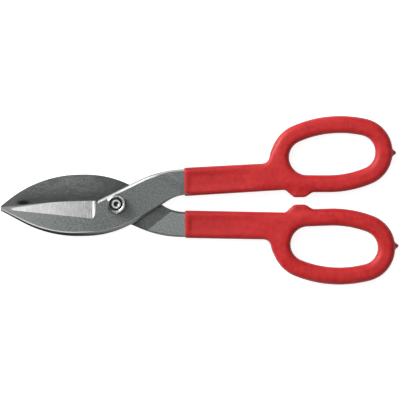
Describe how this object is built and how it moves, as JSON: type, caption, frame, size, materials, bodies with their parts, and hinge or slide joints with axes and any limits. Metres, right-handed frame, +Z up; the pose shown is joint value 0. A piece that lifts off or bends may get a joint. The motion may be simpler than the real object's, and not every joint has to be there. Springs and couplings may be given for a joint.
{
  "type": "tin snips",
  "caption": "Straight-pattern metal-cutting snips: forged crossed halves on a bolt, with dip-coated bow handles.",
  "frame": {"origin": "middle of the bounding box's bottom face; the snips lie flat with the pivot nut up", "axes": "+X from the blades to the handles, along the middle line; +Y to the front half's handle; +Z up along the pivot axis, toward the nut"},
  "size_m": [0.3004, 0.1274, 0.0233],
  "materials": {
    "forged_steel": "satin",
    "dipped_vinyl": "satin",
    "plated_steel": "bright zinc",
    "black_nylon": "matte"
  },
  "bodies": {
    "rear": {"rear_half": "forged_steel", "rear_grip": "dipped_vinyl", "pivot_bolt": "plated_steel", "lock_nut": "plated_steel", "nylon_insert": "black_nylon"},
    "front": {"front_half": "forged_steel", "front_grip": "dipped_vinyl"}
  },
  "joints": [
    {"name": "shear_pivot", "type": "hinge", "parent": "rear", "child": "front", "pos_m": [-0.0626, 0.00003, 0.00885], "axis": [0, 0, 1], "range_deg": [-2.1, 38]}
  ]
}
